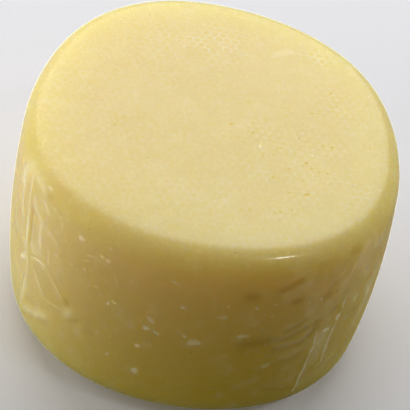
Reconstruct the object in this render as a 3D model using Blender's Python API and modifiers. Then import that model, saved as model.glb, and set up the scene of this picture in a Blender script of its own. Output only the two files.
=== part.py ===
"""A small whole alpine cheese, drum-shaped, shut tight in clear shrink film, as one closed solid.

Metres, +Z up.  The drum stands on its flat base, whose middle is the origin, and the side of it that
shows best looks towards -Y.  Places on the side are given by an angle round the drum, in degrees
from +X towards +Y, and a height above the base.
"""

import math

import bpy
import numpy as np

# ---------------------------------------------------------------- driving dimensions

OBJECT_NAME = "alpine_cheese"
NODE_NAME = "wrapped_cheese"

HEIGHT = 0.0796
MEAN_RADIUS = 0.065
TOP_EDGE_RADIUS = 0.0072
BASE_EDGE_RADIUS = 0.0117
EDGE_SQUARENESS = 2.3     # 2 rounds the edges to a quarter circle, more makes them squarer
SIDE_BULGE = 0.0028       # how far the side stands out at half height
SIDE_FLARE = 0.0010       # how much further out the side is at the top than at the base

# The plan is not quite round: waves round the drum, how far each stands out, where one has its crest
PLAN_WAVES = (
    (2, 0.00184, -76.0),
    (3, 0.00095, -16.0),
    (4, 0.00108, 44.2),
    (5, 0.00026, -25.4),
)

# The top is a little uneven: swells of this depth and length, running in these directions
TOP_SWELL_DEPTH = 0.0001
TOP_SWELLS = ((0.052, 20.0), (0.037, 75.0), (0.044, 140.0))

# Folds of the film on the side: (angle, height) along each, half its width, how far it stands out
FOLDS = (
    # the seam on the left, from rim to foot, and the flap beside it
    (((216.0, 0.076), (218.0, 0.062), (219.5, 0.050), (221.5, 0.040), (217.5, 0.013)), 0.0012, 0.0006),
    (((211.5, 0.072), (213.8, 0.060), (216.2, 0.055)), 0.0012, 0.0005),
    # creases that spread from the left seam
    (((219.8, 0.068), (224.0, 0.064), (232.0, 0.061)), 0.0016, 0.0004),
    (((222.5, 0.045), (229.5, 0.048), (237.2, 0.040)), 0.0012, 0.0005),
    (((224.0, 0.042), (230.8, 0.034), (236.7, 0.036)), 0.0012, 0.0004),
    # the two seams on the right
    (((318.8, 0.055), (317.2, 0.042), (316.0, 0.024)), 0.0012, 0.0007),
    (((310.5, 0.047), (311.0, 0.038), (309.5, 0.013)), 0.0014, 0.0007),
    # creases that run up to the right rim
    (((323.0, 0.073), (318.0, 0.064), (314.2, 0.058)), 0.0014, 0.0004),
    (((331.0, 0.023), (318.8, 0.023), (310.8, 0.014)), 0.0014, 0.0004),
    # three wrinkles that run into the right seams
    (((300.5, 0.047), (304.0, 0.0475), (307.5, 0.048)), 0.0013, 0.0005),
    (((298.0, 0.040), (304.5, 0.042), (308.2, 0.044)), 0.0013, 0.0006),
    (((302.5, 0.035), (306.2, 0.0355), (307.5, 0.038)), 0.0013, 0.0004),
)

# Hollows and bumps of the side: angle, height, half length round, half length up, how far out (-: in)
HOLLOWS = (
    (292.8, 0.0435, 0.0052, 0.0022, -0.0012),
    (298.5, 0.0665, 0.0050, 0.0022, -0.0005),
    (289.5, 0.0633, 0.0030, 0.0030, -0.0004),
    (240.5, 0.0367, 0.0022, 0.0022, 0.0006),
    (224.0, 0.0230, 0.0040, 0.0030, -0.0008),
    (225.0, 0.0175, 0.0036, 0.0020, -0.0005),
    (304.0, 0.0165, 0.0070, 0.0016, -0.0005),
)

# Relief belongs to the side: it fades in beyond this radius, over this width
RELIEF_START_RADIUS = 0.0585
RELIEF_FADE = 0.005

# The surface is cut into columns, closer together where the folds are, and rows
COLUMNS = 120
CLOSER_ANGLES = (224.0, 312.0)
CLOSER_SPREAD = 17.0
CLOSER_GAIN = 1.6
TOP_RINGS = 6
EDGE_ROWS = 7
SIDE_ROWS = 20

CHEESE_COLOUR = (0.74, 0.59, 0.26, 1.0)
CHEESE_ROUGHNESS = 0.35

MERGE_DISTANCE = 0.00001


# ---------------------------------------------------------------- the mean profile

def rounded_edge(edge_radius, rows):
    """Points of a superellipse quarter, from straight up (0, 1) to straight out (1, 0), scaled."""
    turn = np.linspace(0.0, math.pi / 2.0, rows + 1)
    power = 2.0 / EDGE_SQUARENESS
    out = edge_radius * np.sin(turn) ** power
    up = edge_radius * np.cos(turn) ** power
    return out, up


def side_offset(heights):
    """How far the side stands out from the mean radius: a bulge at half height, and a slight flare."""
    from_middle = 2.0 * heights / HEIGHT - 1.0
    return SIDE_BULGE * (1.0 - from_middle ** 2) + 0.5 * SIDE_FLARE * from_middle


def mean_profile():
    """Radius and height along the profile, from the middle of the top, down the side, to the base."""
    flat_radius = MEAN_RADIUS - TOP_EDGE_RADIUS
    top_radii = np.linspace(0.0, flat_radius, TOP_RINGS + 1)[:-1]
    top_heights = np.full(TOP_RINGS, HEIGHT)

    out, up = rounded_edge(TOP_EDGE_RADIUS, EDGE_ROWS)
    top_edge_radii = flat_radius + out
    top_edge_heights = HEIGHT - TOP_EDGE_RADIUS + up

    side_heights = np.linspace(HEIGHT - TOP_EDGE_RADIUS, BASE_EDGE_RADIUS, SIDE_ROWS + 1)[1:-1]
    side_radii = np.full(SIDE_ROWS - 1, MEAN_RADIUS)

    out, up = rounded_edge(BASE_EDGE_RADIUS, EDGE_ROWS)
    base_edge_radii = MEAN_RADIUS - BASE_EDGE_RADIUS + out[::-1]
    base_edge_heights = BASE_EDGE_RADIUS - up[::-1]

    radii = np.concatenate([top_radii, top_edge_radii, side_radii, base_edge_radii, [0.0]])
    heights = np.concatenate([top_heights, top_edge_heights, side_heights, base_edge_heights, [0.0]])
    leans_out = radii > MEAN_RADIUS / 2.0
    radii = radii + np.where(leans_out, side_offset(heights), 0.0)
    return radii, heights


def turned_drum(collection):
    """The round drum: the mean profile as a chain of edges, turned about Z."""
    radii, heights = mean_profile()
    points = [(radius, 0.0, height) for radius, height in zip(radii.tolist(), heights.tolist())]
    edges = [(index, index + 1) for index in range(len(points) - 1)]
    profile = bpy.data.meshes.new(NODE_NAME + "_profile")
    profile.from_pydata(points, edges, [])
    drum = bpy.data.objects.new(NODE_NAME + "_turned", profile)
    collection.objects.link(drum)
    screw = drum.modifiers.new("turn", "SCREW")
    screw.axis = "Z"
    screw.angle = math.tau
    screw.steps = COLUMNS
    screw.render_steps = COLUMNS
    screw.use_merge_vertices = True
    screw.merge_threshold = MERGE_DISTANCE
    return drum


# ---------------------------------------------------------------- the real, uneven form

def gather_columns(angles):
    """Move the columns round so that they stand closer together near the folds."""
    even = np.linspace(0.0, math.tau, 721)
    crowding = np.ones_like(even)
    for centre in CLOSER_ANGLES:
        away = (even - math.radians(centre)) / math.radians(CLOSER_SPREAD)
        crowding = crowding + CLOSER_GAIN * np.exp(-away ** 2)
    share = np.concatenate([[0.0], np.cumsum((crowding[1:] + crowding[:-1]) / 2.0)])
    return np.interp(angles % math.tau, share / share[-1] * math.tau, even)


def plan_scale(angles):
    """The plan's radius at each angle, as a multiple of the mean radius: a sum of cosine waves."""
    scale = np.ones_like(angles)
    for waves, depth, crest in PLAN_WAVES:
        scale = scale + depth / MEAN_RADIUS * np.cos(waves * (angles - math.radians(crest)))
    return scale


def distance_to_path(angles, heights, path):
    """Shortest distance along the side's surface to a path of (angle, height) points."""
    across = MEAN_RADIUS * angles
    nearest = np.full_like(angles, 1.0)
    for (start_angle, start_height), (end_angle, end_height) in zip(path[:-1], path[1:]):
        start = np.array([MEAN_RADIUS * math.radians(start_angle), start_height])
        run = np.array([MEAN_RADIUS * math.radians(end_angle), end_height]) - start
        along = ((across - start[0]) * run[0] + (heights - start[1]) * run[1]) / run.dot(run)
        along = np.clip(along, 0.0, 1.0)
        gap = np.hypot(across - start[0] - along * run[0], heights - start[1] - along * run[1])
        nearest = np.minimum(nearest, gap)
    return nearest


def side_relief(angles, heights):
    """How far folds, wrinkles and hollows push the side out or in at each place."""
    relief = np.zeros_like(angles)
    for path, half_width, rise in FOLDS:
        away = distance_to_path(angles, heights, path) / half_width
        relief = relief + rise * np.exp(-away ** 2)
    for angle, height, half_round, half_up, rise in HOLLOWS:
        round_way = MEAN_RADIUS * (angles - math.radians(angle)) / half_round
        up_way = (heights - height) / half_up
        relief = relief + rise * np.exp(-round_way ** 2 - up_way ** 2)
    return relief


def top_swell(x, y):
    """Low swells of the top: crossed sine waves that only ever sink below the flat."""
    swell = np.zeros_like(x)
    for length, direction in TOP_SWELLS:
        along = x * math.cos(math.radians(direction)) + y * math.sin(math.radians(direction))
        swell = swell - TOP_SWELL_DEPTH * (1.0 + np.sin(math.tau * along / length))
    return swell


def shape_cheese(mesh):
    """Push the turned drum's vertices into the uneven plan, the film's relief and the soft top."""
    places = np.empty(len(mesh.vertices) * 3)
    mesh.vertices.foreach_get("co", places)
    places = places.reshape(-1, 3)
    radii = np.hypot(places[:, 0], places[:, 1])
    heights = places[:, 2].copy()
    angles = gather_columns(np.arctan2(places[:, 1], places[:, 0]))

    on_side = np.clip((radii - RELIEF_START_RADIUS) / RELIEF_FADE, 0.0, 1.0)
    radii = radii * plan_scale(angles) + on_side * side_relief(angles, heights)
    x = radii * np.cos(angles)
    y = radii * np.sin(angles)
    near_top = np.clip(1.0 - (HEIGHT - heights) / TOP_EDGE_RADIUS, 0.0, 1.0)
    heights = heights + near_top * top_swell(x, y)

    middle_x = (x.max() + x.min()) / 2.0
    middle_y = (y.max() + y.min()) / 2.0
    shaped = np.column_stack([x - middle_x, y - middle_y, heights])
    mesh.vertices.foreach_set("co", shaped.ravel())
    mesh.update()


# ---------------------------------------------------------------- finish

def wrapped_cheese_material():
    """Pale yellow cheese seen through clear film."""
    material = bpy.data.materials.new("wrapped_cheese")
    material.use_nodes = True
    shader = material.node_tree.nodes["Principled BSDF"]
    shader.inputs["Base Color"].default_value = CHEESE_COLOUR
    shader.inputs["Roughness"].default_value = CHEESE_ROUGHNESS
    shader.inputs["Metallic"].default_value = 0.0
    material.diffuse_color = CHEESE_COLOUR
    return material


def build():
    """Clear the scene and make the cheese in its own collection."""
    for leftover in list(bpy.data.objects):
        bpy.data.objects.remove(leftover, do_unlink=True)
    collection = bpy.data.collections.new(OBJECT_NAME)
    bpy.context.scene.collection.children.link(collection)

    drum = turned_drum(collection)
    view_layer = bpy.context.evaluated_depsgraph_get()
    mesh = bpy.data.meshes.new_from_object(drum.evaluated_get(view_layer))
    bpy.data.objects.remove(drum, do_unlink=True)
    shape_cheese(mesh)
    mesh.name = NODE_NAME
    mesh.shade_smooth()

    cheese = bpy.data.objects.new(NODE_NAME, mesh)
    cheese.data.materials.clear()
    cheese.data.materials.append(wrapped_cheese_material())
    collection.objects.link(cheese)


build()
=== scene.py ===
"""Looks of a small whole alpine cheese, drum-shaped, in clear shrink film.

Metres, +Z up.  The drum stands on its base, and the side that shows best looks towards -Y.  A place on
the drum is an angle round it, from +X towards +Y, and a run: the distance along the mean profile from
the middle of the top, over the edge, down the side and under to the middle of the base.
"""

import math

import bpy
import numpy as np
from mathutils import Euler, Matrix, Vector


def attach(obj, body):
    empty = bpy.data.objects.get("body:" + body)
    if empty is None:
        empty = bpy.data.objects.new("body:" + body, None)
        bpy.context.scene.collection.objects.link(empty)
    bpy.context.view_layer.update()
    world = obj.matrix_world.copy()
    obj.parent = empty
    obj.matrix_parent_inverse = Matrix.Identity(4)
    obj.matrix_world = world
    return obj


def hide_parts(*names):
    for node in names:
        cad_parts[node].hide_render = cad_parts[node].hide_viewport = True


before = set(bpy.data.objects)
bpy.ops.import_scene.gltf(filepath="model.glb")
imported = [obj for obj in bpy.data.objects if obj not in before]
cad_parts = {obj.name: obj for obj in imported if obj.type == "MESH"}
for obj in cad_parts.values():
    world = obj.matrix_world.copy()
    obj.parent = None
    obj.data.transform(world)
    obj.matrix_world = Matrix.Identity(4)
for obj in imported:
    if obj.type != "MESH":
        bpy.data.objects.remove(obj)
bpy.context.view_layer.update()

# ---------------------------------------------------------------- driving dimensions (metres, degrees)

MILLIMETRE = 0.001
HEIGHT = 0.0796
MEAN_RADIUS = 0.065
TOP_EDGE_RADIUS = 0.0072
BASE_EDGE_RADIUS = 0.0117
EDGE_SQUARENESS = 2.3
SIDE_BULGE = 0.0028
SIDE_FLARE = 0.0010
PLAN_WAVES = (
    (2, 0.00184, -76.0),
    (3, 0.00095, -16.0),
    (4, 0.00108, 44.2),
    (5, 0.00026, -25.4),
)
# The top falls a little towards its rim on one side: how much, from which radius, towards which angle
SHOULDER_DROP = 0.0012
SHOULDER_START = 0.044
SHOULDER_ANGLE = 245.0
TOP_SWELL_DEPTH = 0.00005
TOP_SWELLS = ((0.052, 20.0), (0.037, 75.0), (0.044, 140.0))

CHEESE_UNDER_FILM = 0.00015
FLAT_RADIUS = MEAN_RADIUS - TOP_EDGE_RADIUS
# How many steps the table of the profile takes along the flat top, along each edge and along the side
PROFILE_STEPS = 200
# The side's relief fades in from this radius, over this distance
RELIEF_START_RADIUS = 0.0585
RELIEF_FADE = 0.005

# The mould's print on the top: round spots in rows, this far apart, the rows turned by this angle, and
# how far they wander
PRINT_PITCH = 0.00296
PRINT_TURN = -26.6
PRINT_WANDER = 0.0024

CAMERA_ELEVATION = 43.155
CAMERA_ROLL = 11.477
CAMERA_DISTANCE = 9.0 * MEAN_RADIUS
FOCAL_PIXELS = 1669.2
PHOTO_SIZE = 410
LOOK_POINT_PIXEL = (199.3, 203.3)
SENSOR_WIDTH = 36.0

# ---------------------------------------------------------------- folds and marks (millimetres, degrees)

# The film's soft folds: (angle, height) along each, half width, rise
FOLDS = (
    (((216.8, 74.5), (218, 62), (219.5, 50), (221.5, 40), (217.5, 13)), 1.2, 0.27),
    (((211.5, 70), (213.8, 60), (216.2, 55)), 1.2, 0.22),
    (((219.8, 68), (224, 64), (232, 61)), 1.6, 0.18),
    (((222.5, 45), (229.5, 48), (237.2, 40)), 1.2, 0.22),
    (((224, 42), (230.8, 34), (236.7, 36)), 1.2, 0.18),
    (((318.5, 54.6), (317, 43), (316.3, 24)), 1.2, 0.32),
    (((310.8, 45), (310.6, 33), (309.7, 13)), 1.4, 0.32),
    (((321.8, 71.4), (318, 64), (314.5, 57.6)), 1.4, 0.18),
    (((325, 23.7), (317, 20.4), (310.2, 15)), 1.4, 0.18),
)

# Milky creases of the film: (angle, height) along each, half width, rise, milkiness
CREASES = (
    (((211.3, 70.6), (212.5, 66.8), (213.2, 60.9), (214, 56.4), (215.8, 55.8), (217.2, 56.4)),
     0.8, 0.1, 0.3),
    (((216.2, 75.7), (216.8, 73.1), (217.2, 69.2), (217.8, 64.9), (218.2, 63.1)), 0.65, 0.08, 0.22),
    (((218.8, 63.1), (218.2, 59.8), (219, 56.6), (219.2, 52.7), (219.2, 49.1), (219.2, 45.6)),
     0.85, 0.15, 0.39),
    (((220, 45.2), (221.5, 41.2), (221.2, 33.8), (220, 25.1), (218, 16.8), (217.2, 12.9)),
     0.95, 0.1, 0.2),
    (((222.8, 44.6), (225, 46.8), (227.5, 47.7), (229.8, 48.1), (230.8, 47.2)), 0.65, 0.1, 0.31),
    (((230.5, 47.7), (233.5, 44.4), (235.5, 42.2), (237.8, 39.5)), 0.6, 0.07, 0.2),
    (((229.2, 56.6), (230, 53.3), (230.5, 47.9)), 0.6, 0.06, 0.18),
    (((224.2, 42.4), (226.5, 38.9), (229, 36.3), (230.8, 33.8)), 0.65, 0.06, 0.15),
    (((230.3, 34), (232.8, 34.2), (235.3, 34.9), (237.2, 35.3)), 0.6, 0.05, 0.14),
    (((227.8, 44.8), (229, 47.2)), 0.95, 0.06, 0.2),
    (((224.8, 60), (225.5, 58.2), (225.5, 54.6), (226.8, 53.3)), 0.95, 0.07, 0.2),
    (((222, 51.7), (222.2, 48.3), (223.5, 47.9), (225.8, 49.1)), 0.95, 0.07, 0.16),
    (((216.2, 37.9), (218.8, 41.8), (220.3, 45)), 0.95, 0.07, 0.22),
    (((216.2, 37.7), (218.8, 40.1), (220.8, 41.8)), 0.95, 0.07, 0.22),
    (((318.5, 54.6), (318.5, 52.5), (318.2, 50.5)), 0.6, 0.07, 0.31),
    (((318, 48.7), (317.5, 47), (317, 45)), 1.2, 0.15, 0.48),
    (((317.2, 45.2), (316.8, 41.4), (316.2, 37.9), (316.2, 32.6), (316.2, 28.6), (316.5, 23.5)),
     0.65, 0.13, 0.41),
    (((313, 42.4), (314.2, 42.4), (315.8, 42.6)), 1.1, 0.13, 0.38),
    (((310.8, 45.2), (310.8, 40.7), (311, 37.9), (312.2, 36.1)), 0.6, 0.07, 0.29),
    (((311.5, 36.3), (311, 34.7), (310.5, 32.8)), 1.2, 0.13, 0.34),
    (((310.5, 33.4), (310.5, 27.1), (310, 21.2), (309.8, 12.7)), 0.65, 0.13, 0.38),
    (((309.8, 13.5), (309.8, 11.9)), 0.7, 0.1, 0.53),
    (((318.2, 22.7), (315.5, 24.3), (315.5, 21)), 0.6, 0.06, 0.24),
    (((325, 23.7), (320.2, 22.7), (317, 20.4), (312, 17.8), (310.2, 15.2)), 0.55, 0.05, 0.14),
    (((326, 19.6), (320.2, 18.4), (316, 16.2), (312, 14.5)), 0.55, 0.05, 0.12),
    (((321.8, 71.4), (320.2, 68.6), (318.8, 65.3), (316.8, 63.3), (315.5, 60.5), (314.5, 57.6)),
     0.55, 0.06, 0.12),
    (((317.8, 68.4), (314.8, 67.4), (312.5, 66.5), (311.5, 63.7), (310.5, 61.3)), 0.55, 0.06, 0.12),
    (((309.5, 59), (310.2, 59.4)), 1.1, 0.07, 0.34),
    (((217.5, 76.8), (220.5, 78.5), (224.5, 79.5)), 0.8, 0.03, 0.06),
)
# Tight, glossy crease of the film on the front rim: the same
RIM_CREASES = (
    (((285, 78), (290, 78.2), (296, 78.3), (303, 78.1)), 1.1, 0.02, 1),
)

# Forms of the side, in the cheese and the film: (angle, height) along each, half width, rise, and how much
# painted shade deepens the cheese's colour there
SIDE_FORMS = (
    (((219.8, 62.7), (220.3, 56.6), (220.5, 50.5)), 1, -0.3, 0.65),
    (((223.8, 74.5), (226.2, 74.8)), 1.2, -0.1, 0.51),
    (((221.5, 22.9), (224, 24.3), (226.8, 25.3)), 1.5, -0.3, 0.45),
    (((221.5, 14.3), (226.2, 17.4), (230.3, 20.8)), 1.5, -0.2, 0.3),
    (((238.8, 39.9), (239.3, 38.7)), 1.3, -0.4, 0.87),
    (((240.5, 32.4), (242.5, 34)), 1.1, -0.3, 0.51),
    (((245.5, 31.2), (247.5, 33)), 1.1, -0.3, 0.43),
    (((288.8, 64.1), (289.8, 64.1)), 2, -0.5, 0.9),
    (((301.5, 60.5), (302.8, 60.7)), 1.4, -0.4, 0.8),
    (((311.2, 59), (312, 59.4)), 1.3, -0.4, 0.87),
    (((297.2, 66.1), (299.2, 67), (300.8, 68.6), (302.5, 69.6)), 1.2, -0.4, 0.8),
    (((289.8, 42), (292.8, 42.8), (294.8, 43)), 2.4, -0.4, 0.87),
    (((314.8, 50.3), (316, 51.1)), 1.5, -0.3, 0.65),
    (((309.8, 48.5), (311.2, 48.7)), 0.8, -0.3, 0.65),
    (((310.2, 47.7), (309.8, 45), (309, 42.2)), 1.2, -0.3, 0.65),
    (((327.8, 42.6), (322, 44.4)), 0.7, -0.1, 0.51),
    (((318, 57.2), (320.2, 56.4)), 1.4, -0.1, 0.43),
    (((319, 74.6), (321.5, 73.4)), 1.5, -0.1, 0.58),
    (((301, 47.2), (303.8, 48.3), (306.2, 50.7)), 1.2, -0.3, 0.58),
    (((297.2, 43.4), (301.2, 43.6), (304.2, 45.4), (307.2, 47)), 1.3, -0.4, 0.72),
    (((298.8, 38.9), (302.8, 38.9), (306.2, 39.7), (308, 41.6)), 1.5, -0.4, 0.72),
    (((302.2, 31.8), (305.5, 32), (307.5, 34.7)), 1.2, -0.1, 0.43),
    (((310.2, 31), (309.5, 25.1), (309, 18.6)), 0.8, -0.1, 0.51),
    (((299.2, 17.4), (303.8, 15.8), (308.8, 13.7)), 1.2, -0.1, 0.51),
    (((240, 37.1), (239.5, 34.2)), 2, 0.4, 0),
    (((298, 43.6), (301.5, 45.4), (304.5, 47.2), (306.8, 48.7)), 1.4, 0.2, 0),
    (((299.5, 40.5), (303.2, 41), (306.2, 42), (308, 43.2)), 1.4, 0.2, 0),
    (((220.5, 16), (227.5, 21.9), (231.8, 25.7)), 1.8, 0.3, 0),
)

# Broad haze in the film, where it stands off the cheese, and pale bands along the side's swellings and
# ridges as painted highlights: (angle, height) along it, half width, milkiness
HAZES_AND_RIDGE_HIGHLIGHTS = (
    (((211.8, 73), (214, 75.2)), 3, 0.15),
    (((210.2, 69.6), (210.2, 66.1)), 2, 0.18),
    (((219.8, 68), (221.2, 65.1), (223.5, 64.3), (224.8, 63.1), (224.8, 60.7)), 1, 0.21),
    (((224.8, 70.8), (227, 68.8)), 0.9, 0.21),
    (((218.8, 75.3), (221, 75), (223.2, 74.5)), 1.5, 0.16),
    (((226, 63.5), (228.8, 62.5), (232, 61.3)), 0.9, 0.13),
    (((223, 50.1), (225, 50.3)), 1.8, 0.11),
    (((224.5, 58), (225.2, 53.3)), 1.4, 0.1),
    (((209.5, 47), (211.3, 45.4)), 1, 0.18),
    (((213.5, 47), (215.5, 47)), 0.9, 0.16),
    (((217.5, 46.6), (218.8, 45.6)), 0.9, 0.2),
    (((220.5, 16), (227.5, 21.9), (231.8, 25.7)), 1.7, 0.14),
    (((240, 37.1), (239.5, 34.2)), 2.1, 0.16),
    (((242.8, 30), (244.3, 32.2)), 1.7, 0.1),
    (((209.2, 40.5), (213.2, 31.8), (216.5, 23.3)), 1.4, 0.06),
    (((298, 43.6), (301.5, 45.4), (304.5, 47.2), (306.8, 48.7)), 1.4, 0.1),
    (((299.5, 40.5), (303.2, 41), (306.2, 42), (308, 43.2), (308.5, 44.8)), 1.3, 0.11),
    (((301.2, 34.2), (305, 35.3), (307.5, 36.9)), 1.4, 0.1),
    (((300.5, 49.5), (303.2, 50.7), (306.2, 51.5)), 1, 0.08),
    (((299.2, 62.3), (300.5, 64.9), (303, 66.5), (305.2, 67.8)), 1.7, 0.08),
    (((298, 69.8), (300.2, 72.2), (302.8, 73.2)), 1.8, 0.05),
    (((307.8, 54.2), (311.5, 50.5), (313.2, 56)), 2.9, 0.09),
    (((312.2, 41.8), (312.8, 34.5), (313.5, 25.7)), 1.8, 0.12),
    (((314.2, 41.6), (314.8, 34)), 1.4, 0.07),
    (((325, 73.4), (322.8, 70), (326.2, 62.1)), 2.8, 0.16),
    (((333.5, 69.8), (328.8, 69.6)), 2.3, 0.14),
    (((329.5, 51.7), (331.8, 46.2)), 1.6, 0.21),
    (((324.8, 51.3), (323.8, 50.3)), 0.8, 0.26),
    (((321, 43), (322, 43.2)), 0.8, 0.23),
    (((319.5, 66.1), (318, 61.1), (322.8, 50.3)), 2.9, 0.08),
    (((334.2, 54.8), (331.2, 42.4), (328.2, 32.6)), 2.1, 0.13),
    (((296.8, 31.4), (298.2, 32)), 1, 0.16),
)

# White flecks under the film on the side: angle, height, half length, half width, turn, whiteness
FLECKS = (
    (224.5, 76.9, 1.4, 0.7, 176, 0.24),
    (229.2, 72.7, 0.7, 0.5, 159, 0.19),
    (231.5, 71.6, 0.7, 0.7, 172, 0.21),
    (233.5, 75.2, 0.8, 0.4, 155, 0.19),
    (234.5, 73.2, 0.6, 0.4, 149, 0.18),
    (233, 69.6, 0.7, 0.5, 152, 0.16),
    (231.5, 65.1, 0.6, 0.7, 170, 0.16),
    (235.3, 65.1, 0.6, 0.5, 152, 0.14),
    (232.8, 56.2, 0.8, 0.7, 160, 0.18),
    (240, 70, 1.4, 1.2, 30, 0.31),
    (249, 72.2, 0.9, 0.7, 160, 0.19),
    (247.2, 67.6, 1, 0.8, 170, 0.19),
    (249, 67.2, 1.1, 0.8, 130, 0.24),
    (244.3, 65.7, 1.6, 0.3, 0, 0.16),
    (242.8, 62.9, 1.8, 0.3, 30, 0.15),
    (247.2, 54.6, 0.8, 0.7, 136, 0.19),
    (248.8, 51.9, 0.7, 0.7, 30, 0.2),
    (251.2, 49.9, 0.8, 1.2, 170, 0.23),
    (253, 51.3, 0.7, 0.8, 170, 0.2),
    (245, 53.3, 0.6, 0.4, 160, 0.23),
    (252.2, 61.3, 0.8, 0.9, 130, 0.09),
    (242.8, 58.8, 0.5, 0.7, 136, 0.2),
    (238.2, 57.2, 0.7, 0.5, 136, 0.13),
    (263.5, 49.1, 2.2, 1, 135, 0.19),
    (262.6, 45, 1.5, 1.2, 150, 0.29),
    (265.5, 44, 1.3, 0.7, 150, 0.27),
    (261.2, 35.7, 1.1, 1.2, 120, 0.29),
    (276, 42.8, 2.3, 2.1, 160, 0.29),
    (273.2, 45, 1, 0.8, 150, 0.27),
    (253, 26.3, 1, 0.9, 130, 0.24),
    (261.5, 22.7, 1.6, 1.6, 100, 0.31),
    (271.5, 57.8, 1.8, 0.9, 140, 0.15),
    (267.8, 67.4, 1.4, 0.5, 165, 0.24),
    (247.8, 15, 0.7, 0.7, 0, 0.19),
    (282.2, 55.6, 2.1, 1.3, 5, 0.15),
    (288.8, 47.2, 2.8, 1.3, 15, 0.21),
    (283.2, 60.5, 0.7, 0.5, 20, 0.19),
    (291, 59.8, 0.7, 0.7, 20, 0.24),
    (293.3, 57, 0.7, 0.5, 40, 0.19),
    (295.8, 55.8, 0.8, 0.7, 0, 0.19),
    (296, 61.1, 0.7, 0.5, 0, 0.18),
    (297.5, 31, 1.6, 0.9, 10, 0.15),
    (306.8, 26.9, 0.7, 0.5, 30, 0.18),
    (305.2, 17.4, 1, 0.5, 150, 0.21),
    (306, 59, 0.9, 0.7, 40, 0.19),
    (302, 62.1, 0.7, 0.5, 30, 0.18),
)
# Dustings of very small flecks: middle angle and height, spread round and up, how many; and the heights
# that they keep between
DUSTINGS = (
    (240, 60, 10, 12, 90),
    (251, 46, 10, 12, 130),
    (236, 66, 7, 8, 50),
    (285, 55, 18, 10, 50),
    (262, 34, 20, 12, 60),
    (110, 42, 35, 14, 120),
    (20, 46, 30, 14, 110),
    (170, 40, 25, 12, 90),
)
DUSTING_HEIGHTS = (4, 78)
# The flecks of a dusting: least half length and how much more it can be, width as a share of that, and
# whiteness
DUST_LEAST = 0.16
DUST_MORE = 0.34
DUST_WIDTHS = (0.5, 1)
DUST_WHITENESS = (0.15, 0.5)

# Small pits of the top where curd grains meet, drawn as painted shade: x, y, radius
PITS = (
    (5.3, -1.2, 0.75), (16.4, 3.9, 0.4), (12.1, 1.6, 0.4), (8.4, -7.2, 0.4), (10.4, -8.9, 0.45),
    (3, -8, 0.35), (28.9, 6.3, 0.4), (35.8, 8.5, 0.35), (31.1, -2.1, 0.4), (36.6, -2.9, 0.55),
    (39.7, -2.9, 0.6), (22.8, -8.1, 0.4), (28.6, -7.1, 0.45), (27.5, -9.7, 0.4), (20.7, -12.4, 0.45),
    (31.9, -13.1, 0.65), (30.9, -15.1, 0.45), (25.2, -15.6, 0.45), (26.4, -17.7, 0.55), (33.8, -15.5, 0.5),
    (39.1, -16.3, 0.55), (36.2, -16.6, 0.4), (21.7, -23.1, 0.5), (23.9, -23, 0.4), (50.3, 1.2, 0.35),
    (52.4, 0.5, 0.5), (53.8, 3.4, 0.4), (37, 25, 0.7), (31.3, 26.9, 0.45), (23.1, 12.5, 0.35),
    (31.4, 12.3, 0.5), (35.3, 13.2, 0.4), (5.9, -37.7, 0.45), (8.4, -19.3, 0.4), (33.3, -28.2, 0.7),
    (27.6, -29, 0.5), (25.8, -38.8, 0.5), (29.4, -36.8, 0.5), (24.2, -39.6, 0.4), (11.8, -32.2, 0.35),
    (16.1, -40.5, 0.45), (12.8, -3.5, 0.55), (14.9, -6.7, 0.45), (49.7, 23.2, 0.35), (17.3, -13.3, 0.45),
    (31.4, -22.1, 0.5),
)
# How much longer and wider than its radius a pit is, and its turn
PIT_LENGTH = 1.2
PIT_WIDTH = 0.8
PIT_ANGLE = 40.0
# Small raised flakes of curd on the top: x, y, half length, half width, turn
FLAKES = (
    (16, -9.5, 1, 0.8, 80),
    (17.1, -11.7, 0.6, 0.5, 0),
    (15.1, -7.5, 0.5, 0.3, 0),
    (18.5, -17, 1.3, 0.5, 35),
    (20.9, -24, 0.3, 0.5, 90),
    (23.7, -8.1, 0.6, 0.5, 0),
    (33.4, -8.9, 1.2, 0.5, -8),
    (0.8, -1.5, 1.2, 0.2, -20),
    (5.7, -2.6, 1.7, 0.2, -10),
    (10.8, -1.2, 0.7, 0.4, 0),
    (35.9, 1.8, 0.5, 0.3, 0),
    (36.6, 16.3, 0.3, 0.6, 80),
    (7, 9.8, 0.8, 0.3, -10),
    (7, 22.1, 0.5, 0.3, 20),
    (8.3, 24.7, 0.4, 0.2, 0),
    (1.6, 31.7, 0.5, 0.3, 20),
    (2.6, -21.2, 0.6, 0.2, 0),
    (1.5, -27.1, 0.5, 0.2, 0),
    (26.4, -19.1, 0.8, 0.2, -8),
    (-34.2, -29.7, 0.2, 0.2, 0),
    (-42.9, -5.8, 0.3, 0.2, 0),
)
# A smear of pale curd near the back of the top: the same
SMEARS = (
    (16.2, 39.9, 2.4, 1.6, 50),
    (17.6, 41.6, 2.6, 2.2, 20),
    (20.2, 43, 2.8, 2, -10),
    (21.8, 43.6, 1.6, 1.2, 30),
    (18.7, 44.2, 1.6, 1, 60),
)
FLAKE_STRENGTH = 0.24
SMEAR_STRENGTH = 0.08
# Dark specks: on the top x, y; on the side angle, height; and the radius of each
TOP_SPECKS = ((-30.7, 48.5), (-32.3, -13.2), (-19.5, -25.9), (28.1, -1.6), (47.9, -19.8))
SIDE_SPECKS = (
    (283, 79.1), (241.2, 75), (233.5, 61.1), (234.5, 17.4), (239.8, 20.8), (225.2, 28.2), (275.8, 37.9),
    (295.8, 11), (314.8, 60.3), (120, 40), (60, 55), (12, 30),
)
SPECK_RADIUS = 0.2

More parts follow.
